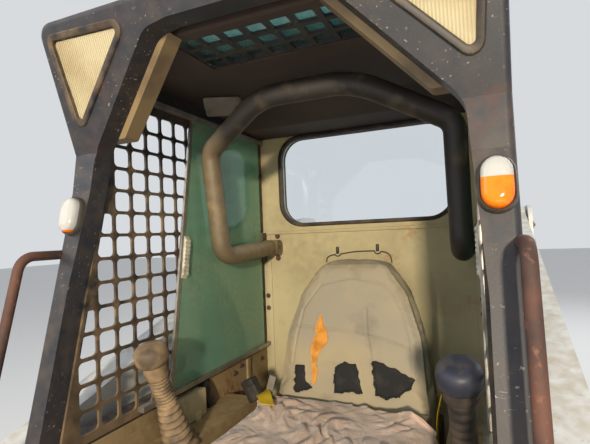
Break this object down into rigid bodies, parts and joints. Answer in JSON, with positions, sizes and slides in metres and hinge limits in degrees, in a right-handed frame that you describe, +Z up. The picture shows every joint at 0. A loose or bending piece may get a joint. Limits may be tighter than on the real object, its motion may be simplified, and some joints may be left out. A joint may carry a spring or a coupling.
{
  "type": "skid steer loader",
  "caption": "Compact wheeled loader with an open-front screened cab, lift arms along its sides and a bucket in front.",
  "frame": {"origin": "on the ground, under the middle of the machine's overall box", "axes": "+Z up, the bucket points along -Y, +X is the operator's left"},
  "size_m": [1.676, 3.25, 1.955],
  "materials": {
    "chassis_paint": "dark dusty paint, chipped",
    "body_paint": "weathered off-white paint",
    "cab_paint": "black-brown paint with dust and chips",
    "screen_paint": "black paint, dusty lower down",
    "bucket_steel": "scraped, rusty steel",
    "rod_chrome": "polished rod",
    "engine_iron": "oily cast iron",
    "rusty_steel": "brown surface rust",
    "rim_paint": "dirty white paint",
    "tyre": "dusty rubber",
    "headliner": "dark brown moulded lining",
    "tan_trim": "dusty brown moulding",
    "tan_panel": "tan dust over paint",
    "aluminium": "dull extrusion",
    "clear_glass": "slightly dirty",
    "green_glass": "green tinted",
    "roof_glass": "teal tinted",
    "cream_lens": "ribbed cream lens",
    "amber_lens": "amber lens",
    "red_lens": "red lens",
    "seat_vinyl": "worn grey vinyl, torn in places",
    "cloth": "crumpled pinkish beige cloth",
    "belt_webbing": "yellow webbing",
    "lever_rubber": "dusty rubber grip"
  },
  "bodies": {
    "chassis": {"main_frame": "chassis_paint", "axle_tubes": "chassis_paint", "uprights": "body_paint", "body_panels": "body_paint", "engine_block": "engine_iron", "door_hinges": "chassis_paint", "exhaust": "rusty_steel", "tail_lamps": "red_lens", "cab_front_frame": "cab_paint", "cab_roof": "cab_paint", "roof_grid": "cab_paint", "roof_glass": "roof_glass", "headliner": "headliner", "corner_trims": "tan_trim", "cab_rear_wall": "tan_panel", "rear_glass": "clear_glass", "side_glass": "green_glass", "glass_rails": "aluminium", "cab_floor": "cab_paint", "front_deck": "cab_paint", "headlamps": "cream_lens", "marker_lamps": "amber_lens", "grab_handles": "rusty_steel", "roof_side_bracket": "cab_paint", "seat_base": "cab_paint", "seat_cushion": "seat_vinyl", "seat_back": "seat_vinyl", "seat_bracket": "cab_paint", "seat_cover": "cloth", "seat_belt": "belt_webbing", "lever_consoles": "tan_panel", "pedals": "rusty_steel", "bar_brackets": "cab_paint", "cab_side_left": "cab_paint", "cab_side_right": "cab_paint", "side_screen_left": "screen_paint", "side_screen_right": "screen_paint"},
    "lift_arms": {"lift_arms": "body_paint", "arm_cross_tube": "body_paint"},
    "bucket": {"quick_attach": "chassis_paint", "bucket": "bucket_steel", "cutting_edge": "bucket_steel"},
    "lift_barrels": {"lift_barrels": "chassis_paint"},
    "lift_rods": {"lift_rods": "rod_chrome"},
    "tilt_barrels": {"tilt_barrels": "chassis_paint"},
    "tilt_rods": {"tilt_rods": "rod_chrome"},
    "seat_bar": {"seat_bar": "tan_trim"},
    "steering_lever_left": {"steering_lever_left": "lever_rubber"},
    "steering_lever_right": {"steering_lever_right": "lever_rubber"},
    "engine_cover": {"engine_cover": "body_paint"},
    "rear_door": {"rear_door": "body_paint"},
    "wheel_front_left": {"tyre_front_left": "tyre", "rim_front_left": "rim_paint"},
    "wheel_front_right": {"tyre_front_right": "tyre", "rim_front_right": "rim_paint"},
    "wheel_rear_left": {"tyre_rear_left": "tyre", "rim_rear_left": "rim_paint"},
    "wheel_rear_right": {"tyre_rear_right": "tyre", "rim_rear_right": "rim_paint"}
  },
  "joints": [
    {"name": "lift_arms_raise", "type": "hinge", "parent": "chassis", "child": "lift_arms", "pos_m": [0, 1.225, 1.45], "axis": [-1, 0, 0], "range_deg": [0, 66]},
    {"name": "bucket_tilt", "type": "hinge", "parent": "lift_arms", "child": "bucket", "pos_m": [0, -0.935, 0.225], "axis": [1, 0, 0], "range_deg": [-28, 106]},
    {"name": "lift_barrels_swing", "type": "hinge", "parent": "chassis", "child": "lift_barrels", "pos_m": [0, 1.255, 0.64], "axis": [-1, 0, 0], "range_deg": [-1, 33.96]},
    {"name": "lift_rods_slide", "type": "slide", "parent": "lift_barrels", "child": "lift_rods", "axis": [0, -0.8555, 0.5178], "range_m": [-0.005, 0.5996]},
    {"name": "tilt_barrels_swing", "type": "hinge", "parent": "lift_arms", "child": "tilt_barrels", "pos_m": [0, -0.8, 0.845], "axis": [-1, 0, 0], "range_deg": [-1.5, 4]},
    {"name": "tilt_rods_slide", "type": "slide", "parent": "tilt_barrels", "child": "tilt_rods", "axis": [0, -0.355, -0.9349], "range_m": [-0.0529, 0.1863]},
    {"name": "seat_bar_lower", "type": "hinge", "parent": "chassis", "child": "seat_bar", "pos_m": [0, 0.525, 1.4], "axis": [1, 0, 0], "range_deg": [0, 58]},
    {"name": "engine_cover_lift", "type": "hinge", "parent": "chassis", "child": "engine_cover", "pos_m": [0, 0.627, 1.3438], "axis": [1, 0, 0], "range_deg": [0, 65]},
    {"name": "rear_door_swing", "type": "hinge", "parent": "chassis", "child": "rear_door", "pos_m": [0.48, 1.531, 0.8], "axis": [0, 0, -1], "range_deg": [0, 100]},
    {"name": "steering_lever_left_push", "type": "hinge", "parent": "chassis", "child": "steering_lever_left", "pos_m": [-0.35, -0.113, 0.87], "axis": [1, 0, 0], "range_deg": [-12, 12], "stiffness_Nm_per_rad": 60},
    {"name": "steering_lever_right_push", "type": "hinge", "parent": "chassis", "child": "steering_lever_right", "pos_m": [0.372, -0.113, 0.87], "axis": [1, 0, 0], "range_deg": [-12, 12], "stiffness_Nm_per_rad": 60},
    {"name": "wheel_front_left_spin", "type": "hinge", "parent": "chassis", "child": "wheel_front_left", "pos_m": [-0.66, -0.375, 0.3865], "axis": [1, 0, 0], "continuous": true},
    {"name": "wheel_front_right_spin", "type": "hinge", "parent": "chassis", "child": "wheel_front_right", "pos_m": [0.66, -0.375, 0.3865], "axis": [1, 0, 0], "continuous": true},
    {"name": "wheel_rear_left_spin", "type": "hinge", "parent": "chassis", "child": "wheel_rear_left", "pos_m": [-0.66, 0.655, 0.3865], "axis": [1, 0, 0], "continuous": true},
    {"name": "wheel_rear_right_spin", "type": "hinge", "parent": "chassis", "child": "wheel_rear_right", "pos_m": [0.66, 0.655, 0.3865], "axis": [1, 0, 0], "continuous": true}
  ],
  "couplings": [
    {"joint": "lift_barrels_swing", "follows": "lift_arms_raise", "ratio": 0.49943},
    {"joint": "lift_rods_slide", "follows": "lift_arms_raise", "m_per_rad": 0.51617},
    {"joint": "tilt_barrels_swing", "follows": "bucket_tilt", "ratio": 0.03},
    {"joint": "tilt_rods_slide", "follows": "bucket_tilt", "m_per_rad": 0.098}
  ]
}
